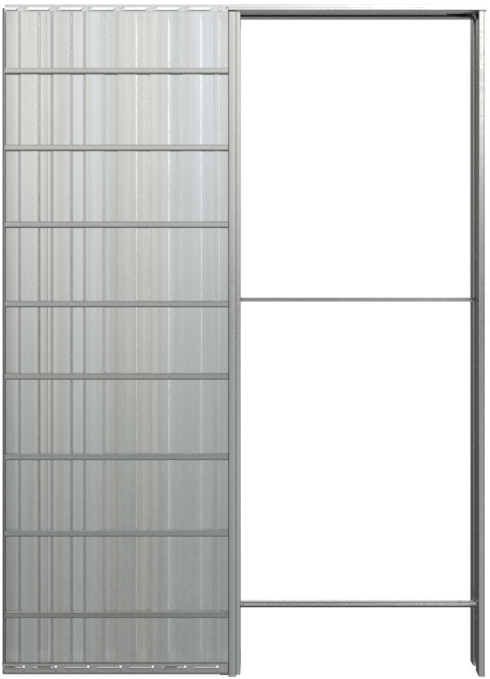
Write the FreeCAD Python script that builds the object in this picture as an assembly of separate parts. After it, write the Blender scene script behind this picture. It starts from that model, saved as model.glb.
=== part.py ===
import FreeCAD, Part
import math
import os
from FreeCAD import Vector

# Pocket door frame for a board-clad partition wall, in folded galvanised sheet.
# Millimetres. +X runs from the pocket to the closing jamb, +Y goes away from the
# viewer, +Z is up. The origin is under the middle of the pocket mouth's floor plate.

# Overall frame
FRAME_LEFT = -720.0
FRAME_RIGHT = 780.0
FRAME_HALF = 37.5
FRAME_TOP = 2085.0
SHOULDER_TOP = 2080.0
CROWN_HALF = 19.5
HEADER_BOTTOM = 2061.0
SEAT_HALF = 27.0
POCKET_HALF = 33.0

# Sheet gauges
SKIN = 0.8
GAUGE = 1.2
RAIL_GAUGE = 1.0

# Ribbed pocket sheet
SHEET_LEFT = -709.0
SHEET_RIGHT = -20.0
SHEET_BOTTOM = 34.0
SHEET_TOP = 2064.0
RIB_COUNT = 7
RIB_FIRST = -686.0
RIB_PITCH = 100.5
RIB_FLOOR = 36.0
RIB_FLANK = 4.0
RIB_DEPTH = 2.0
RIB_BEND = 2.0
SHEET_MARGIN = 26.0
LEDGE_HALF = POCKET_HALF - SKIN - RIB_DEPTH

# Bars that carry the boards
BAR_HEIGHTS = (1874.0, 1636.0, 1398.0, 1152.0, 928.0, 679.0, 442.0, 190.0)
BAR_HALF = 9.75
BAR_LIP = 5.0

# Keyhole rails with lanced tongues
RAIL_RIGHT = -21.0
BASE_RAIL_LEFT = -719.5
BASE_RAIL_BOTTOM = 4.5
BASE_RAIL_TOP = 42.0
BASE_LIP = 12.0
NIP_WIDTH = 10.0
NIP_HEIGHT = 24.0
BASE_HOLE_FIRST = -653.0
BASE_HOLE_HEIGHT = 28.5
TOP_RAIL_LEFT = -711.0
TOP_RAIL_BOTTOM = 2057.5
TOP_HOLE_FIRST = -646.0
TOP_HOLE_HEIGHT = 2065.5
HOLE_COUNT = 7
HOLE_PITCH = 100.0
HOLE_RADIUS = 4.5
TONGUE_NEAR = 6.5
TONGUE_FAR = 77.0
TONGUE_HEIGHT = 9.0
TONGUE_SLANT = 7.0
TONGUE_PRESS = 3.4

# Rear post and header
POST_STEP = 9.0
POST_FLANGE = 40.0
POST_BEND = 2.0
POST_STEP_BEND = 0.5
JOGGLE_HEIGHT = 9.0
JOGGLE_DEPTH = 0.8

# Split jamb at the pocket mouth
JAMB_TAIL = -45.0
JAMB_LEFT = -18.5
JAMB_FOLD = 5.0
NOSE_TIP = 18.0
TAIL_JOGGLE = -16.0
JAMB_FLANGE_TOP = 2056.0
HEM_RADIUS = 0.3

# Closing jamb
CLOSING_FACE = 756.0
CLOSING_BACK = 774.0
GROOVE_HALF = 9.5
GROOVE_DEPTH = 12.0
CLOSING_JOINT = 1125.0
CLOSING_BEND = 2.0
SPLICE_HALF = 60.0

# Track, spacers and floor pieces
TRACK_HALF = 18.0
TRACK_WALL = 2.2
TRACK_SLOT_HALF = 8.0
TRACK_BOTTOM = 2059.0
TRACK_LEFT = -700.0
TRACK_RIGHT = 755.0
TRACK_NOTCH_START = 664.0
SPACER_WIDTH = 23.0
SPACER_HEIGHT = 11.0
SPACER_STEP = 11.0
SPACER_LIP = 5.5
SPACER_BEND = 1.5
UPPER_SPACER_BOTTOM = 1158.0
LOWER_SPACER_BOTTOM = 213.0
LOWER_SPACER_FRONT = -35.0
SPACER_LAP = 6.0
TONGUE_PLAY = 1.0
PLATE_GAUGE = 2.0
PLATE_EARS = 40.0
TIE_GAUGE = 1.5
TIE_WIDTH = 40.0
TIE_CENTRES = (-603.0, -203.0)
POST_SCREWS = (350.0, 1750.0)
LOWER_CLOSING_SCREWS = (150.0, 950.0)
UPPER_CLOSING_SCREWS = (1300.0, 1900.0)
SCREW_RADIUS = 3.25
SCREW_HALF_SPACING = 10.0


def unit(start, end):
    length = math.hypot(end[0] - start[0], end[1] - start[1])
    return ((end[0] - start[0]) / length, (end[1] - start[1]) / length)


def turn(before, corner, after):
    """Positive where the line bends to the left at the corner."""
    first = unit(before, corner)
    second = unit(corner, after)
    return first[0] * second[1] - first[1] * second[0]


def offset_line(points, distance):
    """The line moved sideways with mitred corners; positive distances go to its left."""
    directions = [unit(a, b) for a, b in zip(points, points[1:])]
    normals = [(-d[1], d[0]) for d in directions]
    moved = []
    for index, point in enumerate(points):
        before = normals[max(index - 1, 0)]
        after = normals[min(index, len(normals) - 1)]
        scale = distance / (1.0 + before[0] * after[0] + before[1] * after[1])
        moved.append((point[0] + (before[0] + after[0]) * scale,
                      point[1] + (before[1] + after[1]) * scale))
    return moved


def rounded_edges(points, radii, place):
    """Lines and arcs along a polyline; a corner whose radius is 0 stays sharp."""
    edges = []
    start = points[0]
    for before, corner, after, radius in zip(points, points[1:], points[2:], radii):
        if radius == 0.0:
            edges.append(Part.LineSegment(place(start), place(corner)).toShape())
            start = corner
            continue
        back = unit(corner, before)
        ahead = unit(corner, after)
        half = 0.5 * math.acos(back[0] * ahead[0] + back[1] * ahead[1])
        reach = radius / math.tan(half)
        rise = (radius / math.sin(half) - radius) / (2.0 * math.cos(half))
        first = (corner[0] + back[0] * reach, corner[1] + back[1] * reach)
        last = (corner[0] + ahead[0] * reach, corner[1] + ahead[1] * reach)
        middle = (corner[0] + (back[0] + ahead[0]) * rise,
                  corner[1] + (back[1] + ahead[1]) * rise)
        if math.dist(start, first) > 1e-6:
            edges.append(Part.LineSegment(place(start), place(first)).toShape())
        edges.append(Part.Arc(place(first), place(middle), place(last)).toShape())
        start = last
    edges.append(Part.LineSegment(place(start), place(points[-1])).toShape())
    return edges


def folded_strip(path, gauge, place, sweep):
    """Sheet bent along a path of (u, v, inner bend radius) and extruded along sweep.

    A positive gauge puts the metal to the left of the path, a negative one to its right.
    A radius of 0 stands for a fold too tight to show its bend.
    """
    near = [(u, v) for u, v, radius in path]
    far = offset_line(near, gauge)
    near_radii = []
    far_radii = []
    for before, corner, after in zip(path, path[1:], path[2:]):
        inside = corner[2]
        outside = inside + abs(gauge) if inside else 0.0
        far_is_inside = (turn(before, corner, after) > 0.0) == (gauge > 0.0)
        near_radii.append(outside if far_is_inside else inside)
        far_radii.append(inside if far_is_inside else outside)
    edges = rounded_edges(near, near_radii, place)
    edges.append(Part.LineSegment(place(near[-1]), place(far[-1])).toShape())
    edges.extend(rounded_edges(far[::-1], far_radii[::-1], place))
    edges.append(Part.LineSegment(place(far[0]), place(near[0])).toShape())
    return Part.Face(Part.Wire(edges)).extrude(sweep)


def upright(path, gauge, bottom, top):
    """A folded strip that stands up: the path is in plan, (x, y)."""
    return folded_strip(path, gauge, lambda p: Vector(p[0], p[1], bottom), Vector(0, 0, top - bottom))


def level(path, gauge, left, right):
    """A folded strip that lies along X: the path is in section, (y, z)."""
    return folded_strip(path, gauge, lambda p: Vector(left, p[0], p[1]), Vector(right - left, 0, 0))


def box(left, right, front, back, bottom, top):
    return Part.makeBox(right - left, back - front, top - bottom, Vector(left, front, bottom))


def drill(shape, radius, length, positions, direction):
    """Straight round holes, each starting at its position."""
    for position in positions:
        shape = shape.cut(Part.makeCylinder(radius, length, position, direction))
    return shape


def prism(points, sweep):
    return Part.Face(Part.makePolygon(points + points[:1])).extrude(sweep)


def mirrored(shape):
    """The same piece on the other face of the wall."""
    return shape.mirror(Vector(0, 0, 0), Vector(0, 1, 0))


def both_sides(path):
    """A path from one end to the middle, completed by its reflection in the wall's mid-plane."""
    return path + [(-u, v, radius) for u, v, radius in reversed(path)]


def pocket_sheet():
    """Front skin of the pocket: wide flats that take the bars, with narrow vertical ribs pressed
    inwards. Its left end, the floor of the first rib, and its right margin lie on post and jamb."""
    flat = -POCKET_HALF + SKIN
    floor_half = RIB_FLOOR / 2.0
    brow_half = floor_half + RIB_FLANK
    path = [(SHEET_LEFT, -LEDGE_HALF, 0.0)]
    for index in range(RIB_COUNT):
        centre = RIB_FIRST + RIB_PITCH * index
        if index > 0:
            path.append((centre - brow_half, flat, RIB_BEND))
            path.append((centre - floor_half, -LEDGE_HALF, 0.0))
        path.append((centre + floor_half, -LEDGE_HALF, 0.0))
        path.append((centre + brow_half, flat, RIB_BEND))
    path.append((SHEET_RIGHT - SHEET_MARGIN - RIB_FLANK, flat, RIB_BEND))
    path.append((SHEET_RIGHT - SHEET_MARGIN, -LEDGE_HALF, 0.0))
    path.append((SHEET_RIGHT, -LEDGE_HALF, 0.0))
    return upright(path, -SKIN, SHEET_BOTTOM, SHEET_TOP)


def board_bar(height):
    """Front board bar: a shallow channel whose lips are turned inwards and lie on the sheet."""
    low, high = height - BAR_HALF, height + BAR_HALF
    path = [
        (-POCKET_HALF, low + BAR_LIP, 0.0),
        (-POCKET_HALF, low, 0.0),
        (-FRAME_HALF, low, 0.0),
        (-FRAME_HALF, high, 0.0),
        (-POCKET_HALF, high, 0.0),
        (-POCKET_HALF, high - BAR_LIP, 0.0),
    ]
    return level(path, -SKIN, SHEET_LEFT, SHEET_RIGHT + 0.5)


def lance(rail, near, far, hinge, free, clip_left):
    """Cut a tongue out of the rail's front web and press its free edge outwards."""
    slant = TONGUE_SLANT if far > near else -TONGUE_SLANT
    outer = -POCKET_HALF - RAIL_GAUGE
    hinge_near = Vector(max(near, clip_left), outer, hinge)
    hinge_far = Vector(max(far, clip_left), outer, hinge)
    free_far = Vector(max(far - slant, clip_left), outer, free)
    free_near = Vector(max(near, clip_left), outer, free)
    through = Vector(0, RAIL_GAUGE, 0)
    press = Vector(0, -TONGUE_PRESS, 0)
    window = prism([hinge_near, hinge_far, free_far, free_near], through)
    tongue = prism([hinge_near, hinge_far, free_far + press, free_near + press], through)
    return rail.cut(window).fuse(tongue)


def base_rail():
    """Front base rail: an angle with keyholes, its tongues hinged below and open above."""
    outer = -POCKET_HALF - RAIL_GAUGE
    path = [
        (outer + BASE_LIP, BASE_RAIL_BOTTOM, 0.0),
        (outer, BASE_RAIL_BOTTOM, 1.0),
        (outer, BASE_RAIL_TOP, 0.0),
    ]
    rail = level(path, -RAIL_GAUGE, BASE_RAIL_LEFT, RAIL_RIGHT)
    rail = rail.cut(box(JAMB_TAIL - 1.0, 0.0, -POCKET_HALF, 0.0, 0.0, BASE_RAIL_BOTTOM + 3.0))
    nip = [Vector(BASE_RAIL_LEFT, -FRAME_HALF, BASE_RAIL_BOTTOM),
           Vector(BASE_RAIL_LEFT + NIP_WIDTH, -FRAME_HALF, BASE_RAIL_BOTTOM),
           Vector(BASE_RAIL_LEFT, -FRAME_HALF, BASE_RAIL_BOTTOM + NIP_HEIGHT)]
    rail = rail.cut(prism(nip, Vector(0, FRAME_HALF, 0)))
    for index in range(HOLE_COUNT):
        x = BASE_HOLE_FIRST + HOLE_PITCH * index
        rail = drill(rail, HOLE_RADIUS, 6.0, [Vector(x, -FRAME_HALF, BASE_HOLE_HEIGHT)], Vector(0, 1, 0))
        rail = lance(rail, x - TONGUE_NEAR, x - TONGUE_FAR, BASE_HOLE_HEIGHT - TONGUE_HEIGHT,
                     BASE_HOLE_HEIGHT, BASE_RAIL_LEFT + 8.0)
    return rail


def top_rail():
    """Front top rail: a flat keyhole strip, its tongues hinged above and open below."""
    outer = -POCKET_HALF - RAIL_GAUGE
    rail = box(TOP_RAIL_LEFT, RAIL_RIGHT, outer, -POCKET_HALF, TOP_RAIL_BOTTOM, SHOULDER_TOP)
    free = TOP_HOLE_HEIGHT - TONGUE_HEIGHT / 2.0 + 1.0
    for index in range(-1, HOLE_COUNT):
        x = TOP_HOLE_FIRST + HOLE_PITCH * index
        rail = drill(rail, HOLE_RADIUS, 6.0, [Vector(x, -FRAME_HALF, TOP_HOLE_HEIGHT)], Vector(0, 1, 0))
        if index < HOLE_COUNT - 1:
            rail = lance(rail, x + TONGUE_NEAR, x + TONGUE_FAR, free + TONGUE_HEIGHT, free,
                         TOP_RAIL_LEFT + 2.0)
    return rail


def rear_post():
    """Channel at the closed end of the pocket, stepped so that the sheets lie flush in it."""
    step = FRAME_LEFT + POST_STEP
    half = [
        (FRAME_LEFT + POST_FLANGE, -LEDGE_HALF, 0.0),
        (step, -LEDGE_HALF, POST_STEP_BEND),
        (step, -POCKET_HALF, POST_STEP_BEND),
        (FRAME_LEFT, -POCKET_HALF, POST_BEND),
    ]
    path = half + [(x, -y, radius) for x, y, radius in reversed(half)]
    post = upright(path, -GAUGE, BASE_RAIL_BOTTOM + RAIL_GAUGE, SHEET_TOP + 5.0)
    holes = [Vector(FRAME_LEFT - 1.0, 0.0, z) for z in POST_SCREWS]
    return drill(post, SCREW_RADIUS, 6.0, holes, Vector(1, 0, 0))


def pocket_top_channel():
    """Inverted channel over the pocket, with the raised crown that takes the track."""
    path = both_sides([
        (-POCKET_HALF, SHEET_TOP, 0.0),
        (-POCKET_HALF, SHOULDER_TOP, GAUGE),
        (-CROWN_HALF, SHOULDER_TOP, 0.0),
        (-CROWN_HALF, FRAME_TOP, 0.0),
    ])
    return level(path, -GAUGE, SHEET_LEFT, RAIL_RIGHT)


def header_channel():
    """Header over the doorway: crowned box section, open below between two inward lips."""
    upper_face = -FRAME_HALF + JOGGLE_DEPTH
    joggle = HEADER_BOTTOM + JOGGLE_HEIGHT
    path = both_sides([
        (-TRACK_HALF - 0.5, HEADER_BOTTOM, 0.0),
        (-FRAME_HALF, HEADER_BOTTOM, GAUGE),
        (-FRAME_HALF, joggle - JOGGLE_DEPTH / 2.0, 0.0),
        (upper_face, joggle + JOGGLE_DEPTH / 2.0, 0.0),
        (upper_face, SHOULDER_TOP, GAUGE),
        (-CROWN_HALF, SHOULDER_TOP, 0.0),
        (-CROWN_HALF, FRAME_TOP, 0.0),
    ])
    return level(path, -GAUGE, JAMB_LEFT - 0.5, FRAME_RIGHT)


def track():
    """Extruded track with a slot below; the front lip is notched to let the carriages in."""
    top = FRAME_TOP - GAUGE
    path = both_sides([
        (-TRACK_SLOT_HALF, TRACK_BOTTOM, 0.0),
        (-TRACK_HALF, TRACK_BOTTOM, 0.0),
        (-TRACK_HALF, top, 0.0),
    ])
    rail = level(path, -TRACK_WALL, TRACK_LEFT, TRACK_RIGHT)
    notch = box(TRACK_NOTCH_START, TRACK_RIGHT, -TRACK_HALF + TRACK_WALL, 0.0,
                TRACK_BOTTOM, TRACK_BOTTOM + TRACK_WALL)
    return rail.cut(notch)


def split_jamb():
    """Front half of the mouth jamb: a joggled tail behind the sheet, a hemmed nose, a boxed flange."""
    hem_gap = 2.0 * HEM_RADIUS
    path = [
        (JAMB_TAIL, -LEDGE_HALF, 0.0),
        (TAIL_JOGGLE, -LEDGE_HALF, 0.0),
        (TAIL_JOGGLE + LEDGE_HALF - SEAT_HALF, -SEAT_HALF, 0.0),
        (NOSE_TIP - GAUGE, -SEAT_HALF, HEM_RADIUS),
        (NOSE_TIP - GAUGE, -SEAT_HALF - hem_gap, HEM_RADIUS),
        (JAMB_FOLD - GAUGE, -SEAT_HALF - hem_gap, GAUGE),
        (JAMB_FOLD - GAUGE, -FRAME_HALF + GAUGE, GAUGE),
        (JAMB_LEFT + GAUGE, -FRAME_HALF + GAUGE, GAUGE),
        (JAMB_LEFT + GAUGE, -LEDGE_HALF - hem_gap, 0.0),
    ]
    jamb = upright(path, GAUGE, 0.0, HEADER_BOTTOM)
    relief = box(JAMB_LEFT - 1.0, JAMB_FOLD + 0.5, -FRAME_HALF - 1.0, -SEAT_HALF - hem_gap - GAUGE,
                 JAMB_FLANGE_TOP, HEADER_BOTTOM)
    return jamb.cut(relief)


def closing_jamb(bottom, top, screws):
    """One length of the closing jamb: two flanged webs with a groove between them."""
    floor = CLOSING_FACE + GROOVE_DEPTH
    half = [
        (CLOSING_BACK, -FRAME_HALF, 0.0),
        (CLOSING_FACE, -FRAME_HALF, CLOSING_BEND),
        (CLOSING_FACE, -GROOVE_HALF, CLOSING_BEND),
        (floor, -GROOVE_HALF, CLOSING_BEND),
    ]
    path = half + [(x, -y, radius) for x, y, radius in reversed(half)]
    jamb = upright(path, -GAUGE, bottom, top)
    holes = [Vector(floor - 2.0, 0.0, z) for z in screws]
    return drill(jamb, SCREW_RADIUS, 6.0, holes, Vector(1, 0, 0))


def closing_splice():
    """Joint piece nested behind the closing jamb where its two lengths meet."""
    seat = CLOSING_FACE + GAUGE
    floor = seat + GROOVE_DEPTH
    wall = GROOVE_HALF + GAUGE
    half = [
        (seat, -SEAT_HALF - 5.0, 0.0),
        (seat, -wall, CLOSING_BEND - GAUGE),
        (floor, -wall, CLOSING_BEND + GAUGE),
    ]
    path = half + [(x, -y, radius) for x, y, radius in reversed(half)]
    return upright(path, -GAUGE, CLOSING_JOINT - SPLICE_HALF, CLOSING_JOINT + SPLICE_HALF)


def spacer_bar(front, bottom):
    """Spacer bar across the doorway: a channel open below, its front half set down by a step."""
    riser = front + SPACER_STEP
    back = front + SPACER_WIDTH
    step = bottom + SPACER_LIP
    top = bottom + SPACER_HEIGHT
    path = [
        (front, bottom, 0.0),
        (front, step, SPACER_BEND),
        (riser, step, SPACER_BEND - RAIL_GAUGE),
        (riser, top, SPACER_BEND),
        (back, top, SPACER_BEND),
        (back, bottom, 0.0),
    ]
    return level(path, -RAIL_GAUGE, NOSE_TIP, CLOSING_FACE)


def upper_spacer():
    """Middle spacer: a wide head held between the two jamb halves, a tongue in the groove."""
    inner = SEAT_HALF - GAUGE
    bar = spacer_bar(-SPACER_WIDTH / 2.0, UPPER_SPACER_BOTTOM)
    top = UPPER_SPACER_BOTTOM + SPACER_LIP - RAIL_GAUGE
    head = box(-SPACER_LAP, NOSE_TIP + SPACER_LAP, -inner, inner, top - RAIL_GAUGE, top)
    half = GROOVE_HALF - TONGUE_PLAY
    tongue = box(CLOSING_FACE - SPACER_LAP, CLOSING_FACE + GROOVE_DEPTH - TONGUE_PLAY, -half, half,
                 top - RAIL_GAUGE, top)
    return bar.fuse([head, tongue])


def lower_spacer():
    """Low spacer near the front face, closed by a plate at each end."""
    front = LOWER_SPACER_FRONT
    bottom = LOWER_SPACER_BOTTOM
    bar = spacer_bar(front, bottom)
    ends = [box(left, left + RAIL_GAUGE, front + RAIL_GAUGE, front + SPACER_WIDTH - RAIL_GAUGE,
                bottom, bottom + SPACER_LIP - RAIL_GAUGE)
            for left in (NOSE_TIP, CLOSING_FACE - RAIL_GAUGE)]
    return bar.fuse(ends)


def mouth_floor_plate():
    """Floor plate that ties the two jamb halves together at the pocket mouth."""
    inner = SEAT_HALF - GAUGE
    path = both_sides([
        (-inner, PLATE_EARS, 0.0),
        (-inner, 0.0, PLATE_GAUGE),
    ])
    plate = level(path, PLATE_GAUGE, -NOSE_TIP, NOSE_TIP)
    holes = [Vector(0.0, y, -1.0) for y in (-SCREW_HALF_SPACING, SCREW_HALF_SPACING)]
    return drill(plate, SCREW_RADIUS, 6.0, holes, Vector(0, 0, 1))


def base_tie(centre):
    """Floor strap between the base rails: screwed down in the middle, raised under each rail."""
    raised = BASE_RAIL_BOTTOM - TIE_GAUGE
    path = both_sides([
        (-SEAT_HALF - 3.0, raised, 0.0),
        (-SEAT_HALF + 5.5, raised, 0.0),
        (-SEAT_HALF + 9.0, 0.0, 0.0),
    ])
    tie = level(path, TIE_GAUGE, centre - TIE_WIDTH / 2.0, centre + TIE_WIDTH / 2.0)
    return drill(tie, SCREW_RADIUS, 6.0, [Vector(centre, 0.0, -1.0)], Vector(0, 0, 1))


def all_pieces():
    pieces = {
        "rear_post": rear_post(),
        "pocket_top_channel": pocket_top_channel(),
        "header_channel": header_channel(),
        "track": track(),
        "mouth_floor_plate": mouth_floor_plate(),
        "closing_jamb_lower": closing_jamb(0.0, CLOSING_JOINT, LOWER_CLOSING_SCREWS),
        "closing_jamb_upper": closing_jamb(CLOSING_JOINT, HEADER_BOTTOM, UPPER_CLOSING_SCREWS),
        "closing_splice": closing_splice(),
        "upper_spacer": upper_spacer(),
        "lower_spacer": lower_spacer(),
    }
    paired = {"pocket_sheet": pocket_sheet(), "base_rail": base_rail(), "top_rail": top_rail(),
              "jamb": split_jamb()}
    for number, height in enumerate(BAR_HEIGHTS, start=1):
        paired["bar_%d" % number] = board_bar(height)
    for name, shape in paired.items():
        pieces["front_" + name] = shape
        pieces["back_" + name] = mirrored(shape)
    for number, centre in enumerate(TIE_CENTRES, start=1):
        pieces["base_tie_%d" % number] = base_tie(centre)
    return pieces


os.makedirs("parts", exist_ok=True)
for node, shape in all_pieces().items():
    solid = shape.removeSplitter().Solids[0]
    solid.exportStep("parts/%s.step" % node)
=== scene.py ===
import math

import bpy
from mathutils import Matrix, Vector


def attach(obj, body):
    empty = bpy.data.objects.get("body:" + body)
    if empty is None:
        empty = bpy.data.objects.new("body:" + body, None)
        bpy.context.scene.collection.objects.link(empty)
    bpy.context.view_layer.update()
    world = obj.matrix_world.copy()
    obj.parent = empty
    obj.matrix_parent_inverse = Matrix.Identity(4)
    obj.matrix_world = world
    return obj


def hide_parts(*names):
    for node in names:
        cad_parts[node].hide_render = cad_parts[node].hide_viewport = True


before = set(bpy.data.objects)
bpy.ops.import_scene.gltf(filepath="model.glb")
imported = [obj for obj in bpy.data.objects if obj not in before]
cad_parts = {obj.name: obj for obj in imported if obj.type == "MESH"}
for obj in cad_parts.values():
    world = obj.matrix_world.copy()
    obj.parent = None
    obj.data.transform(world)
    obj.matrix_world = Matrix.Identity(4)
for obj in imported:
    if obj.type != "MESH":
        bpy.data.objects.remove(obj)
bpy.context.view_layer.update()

# Pocket door frame in folded galvanised sheet. Lengths below are in millimetres, as on the
# drawing; MM turns them into metres.
MM = 0.001
POCKET_HALF = 33.0
FRAME_HALF = 37.5
SKIN = 0.8

# Ribbed skins: bends are shares of the ribs' depth, steps are stations beside a flank or the lap
SHEET_LEFT, SHEET_RIGHT = -709.0, -20.0
SHEET_BOTTOM, SHEET_TOP = 34.0, 2064.0
SHEET_MARGIN = 26.0
RIB_FIRST, RIB_PITCH, RIB_COUNT = -686.0, 100.5, 7
RIB_FLOOR_HALF, RIB_FLANK, RIB_DEPTH, RIB_BEND = 18.0, 4.0, 2.0, 0.15
BASE_RAIL_TOP, TOP_RAIL_BOTTOM = 42.0, 2057.5
RUN_OUT, RUN_OUT_STEPS = 45.0, 8
LAP_EDGE, LAP_WIDTH, LAP_HEIGHT = -581.5, 1.2, 0.6
LAP_RISE_FROM, LAP_RISE_TO = 26.0, 8.0
LAP_FOLD_FROM, LAP_FOLD_TO = 0.5, 4.5
SKIN_WAVE, SKIN_WAVE_SEED = 0.5, 3.0
FLANK_STEPS = (0.4, 0.9, 1.3, 1.6, 1.9, 2.2, 2.6, 3.2)
LAP_STEPS = (-26.0, -17.0, -8.0, -2.5, -1.0, 0.0, 0.6, LAP_WIDTH, 2.5)
SKIN_GAP_ACROSS, SKIN_GAP_ALONG = 8.0, 90.0

# Board bars
BAR_HEIGHTS = (1874.0, 1636.0, 1398.0, 1152.0, 928.0, 679.0, 442.0, 190.0)
BAR_HALF, BAR_UPPER_FLANK, BAR_LOWER_FLANK, BAR_LOWER_SEEN = 9.75, 1.8, 8.7, 4.3
BAR_RISE = FRAME_HALF - POCKET_HALF - SKIN
BAR_BEND, BAR_LIP, BAR_END_GAP = 0.1, 0.1, 0.5
BAR_GAP_ACROSS, BAR_GAP_ALONG = 0.34, 63.0

# Both kinds of strip: a place past the end of any strip in metres, the angle of a crisp edge in
# radians, the gap that is merged, and the waves in a metre
FAR_OFF = 1.0
CRISP_ANGLE = 1.2
MERGE_GAP = 0.01
WAVES_ACROSS, WAVES_ALONG = 24.0, 1.1

# Fasteners, as (X, Z) on a face
RAIL_FACE = 34.0
BASE_SCREWS = [(-653.0 + 100.0 * n, 16.5) for n in range(7)]
TOP_SCREWS = [(-24.2, 2070.0)]
POST_RIVETS = [(-712.0, 1893.0), (-712.0, 1814.0), (-712.0, 1687.0)]
SCREW_RADIUS, SCREW_HEIGHT = 2.4, 1.3
RIVET_RADIUS, RIVET_HEIGHT = 1.7, 0.8
HEAD_SEGMENTS, HEAD_RINGS = 10, 6

# Picture size, focal length and the point straight ahead, in pixels, and the camera's place
IMAGE_WIDTH, IMAGE_HEIGHT = 490, 679
FOCAL_PIXELS = 572.0
AHEAD_COLUMN, AHEAD_ROW = 258.0, 255.0
SENSOR_WIDTH = 36.0
CAMERA_PLACE = (73.0, -1805.5, 1304.0)


# Node building

def feed(tree, socket, value):
    """An input linked to a socket, or set to a plain value."""
    if isinstance(value, bpy.types.NodeSocket):
        tree.links.new(value, socket)
    else:
        socket.default_value = value


def node(tree, kind, inputs=None, **settings):
    """A new node; an input given as a socket is linked, any other input is its value."""
    made = tree.nodes.new(kind)
    for name, value in settings.items():
        setattr(made, name, value)
    for key, value in (inputs or {}).items():
        feed(tree, made.inputs[key], value)
    return made


def sums(tree, operation, *values):
    """The output of a Math node."""
    made = node(tree, "ShaderNodeMath", dict(enumerate(values)), operation=operation)
    return made.outputs[0]


def vectors(tree, operation, *values):
    """The vector output of a Vector Math node."""
    made = node(tree, "ShaderNodeVectorMath", dict(enumerate(values)), operation=operation)
    return made.outputs["Vector"]


def measure(tree, operation, *values):
    """The value output of a Vector Math node."""
    made = node(tree, "ShaderNodeVectorMath", dict(enumerate(values)), operation=operation)
    return made.outputs["Value"]


def parts(tree, vector):
    """The X, Y and Z of a vector."""
    return node(tree, "ShaderNodeSeparateXYZ", {0: vector}).outputs


def joined(tree, **values):
    """A vector from its X, Y and Z."""
    return node(tree, "ShaderNodeCombineXYZ", values).outputs[0]


def spread(tree, value, low, high, to_low=0.0, to_high=1.0, kind="SMOOTHSTEP"):
    """A value taken from one range to another, eased and held at both ends."""
    made = node(tree, "ShaderNodeMapRange",
                {"Value": value, "From Min": low, "From Max": high, "To Min": to_low,
                 "To Max": to_high},
                interpolation_type=kind)
    return made.outputs[0]


def between(tree, value, rise, fall):
    """1 on a stretch of a value, with soft ends; each end runs from its 0 to its 1."""
    return sums(tree, "MULTIPLY", spread(tree, value, *rise), spread(tree, value, *fall))


def ramp(tree, value, stops, top):
    """Grey levels along a value, given as (place, level); levels run up to top."""
    made = node(tree, "ShaderNodeValToRGB", {"Fac": value})
    band = made.color_ramp
    band.interpolation = "LINEAR"
    while len(band.elements) < len(stops):
        band.elements.new(1.0)
    for element, (place, level) in zip(band.elements, stops):
        element.position = place
        element.color = grey(level / top)
    return sums(tree, "MULTIPLY", made.outputs["Color"], top)


def blend(tree, kind, share, first, second):
    """The colour output of a Mix node."""
    made = node(tree, "ShaderNodeMix", data_type="RGBA", blend_type=kind)
    sockets = [s for s in made.inputs if s.enabled]
    for socket, value in zip(sockets, (share, first, second)):
        feed(tree, socket, value)
    return next(s for s in made.outputs if s.enabled)


def group(name, tree_kind, inputs, outputs):
    """An empty node group with its named sockets, and its two end nodes."""
    tree = bpy.data.node_groups.new(name, tree_kind)
    for label, kind, default in inputs:
        socket = tree.interface.new_socket(label, in_out="INPUT", socket_type="NodeSocket" + kind)
        if default is not None:
            socket.default_value = default
    for label, kind in outputs:
        tree.interface.new_socket(label, in_out="OUTPUT", socket_type="NodeSocket" + kind)
    given = tree.nodes.new("NodeGroupInput").outputs
    return tree, given, tree.nodes.new("NodeGroupOutput").inputs


def use(tree, node_tree, **inputs):
    """A node group placed in a tree, with its inputs linked or set by name."""
    made = tree.nodes.new("ShaderNodeGroup")
    made.node_tree = node_tree
    for label, value in inputs.items():
        feed(tree, made.inputs[label.replace("_", " ")], value)
    return made.outputs


def grey(level):
    """A grey as a colour with alpha."""
    return (level, level, level, 1.0)


def metres(points):
    """Points in millimetres turned into metres."""
    return [tuple(c * MM for c in p) for p in points]


# Surface effects, and masks for painted shade and painted highlight

def rolled_grain_group():
    """Streaks that the rolling mill leaves along the strip, in a coarse and a fine width."""
    tree, given, out = group(
        "rolled_grain", "ShaderNodeTree",
        [("Vector", "Vector", None), ("Coarse", "Float", 24.0), ("Fine", "Float", 170.0)],
        [("Broad", "Float"), ("Thin", "Float")])
    broad = node(tree, "ShaderNodeTexNoise",
                 {"Vector": given["Vector"], "Scale": given["Coarse"], "Detail": 3.0,
                  "Roughness": 0.55})
    thin = node(tree, "ShaderNodeTexNoise",
                {"Vector": given["Vector"], "Scale": given["Fine"], "Detail": 2.0,
                 "Roughness": 0.5})
    tree.links.new(broad.outputs["Fac"], out["Broad"])
    tree.links.new(thin.outputs["Fac"], out["Thin"])
    return tree


def coil_bands_group():
    """Crisp bands along the strip, as the rolls and the zinc bath leave them, and their fine
    edges."""
    line_core, line_end = 0.02, 0.08
    tree, given, out = group(
        "coil_bands", "ShaderNodeTree",
        [("Vector", "Vector", None), ("Across", "Vector", (30.0, 0.0, 0.0))],
        [("Tone", "Float"), ("Edge", "Float")])
    place = measure(tree, "DOT_PRODUCT", given["Vector"], given["Across"])
    bands = node(tree, "ShaderNodeTexVoronoi", {"W": place, "Scale": 1.0},
                 voronoi_dimensions="1D")
    tone = node(tree, "ShaderNodeSeparateColor", {"Color": bands.outputs["Color"]})
    border = node(tree, "ShaderNodeTexVoronoi", {"W": place, "Scale": 1.0},
                  voronoi_dimensions="1D", feature="DISTANCE_TO_EDGE").outputs["Distance"]
    tree.links.new(sums(tree, "SUBTRACT", tone.outputs["Red"], 0.5), out["Tone"])
    tree.links.new(spread(tree, border, line_core, line_end, 1.0, 0.0), out["Edge"])
    return tree


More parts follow.
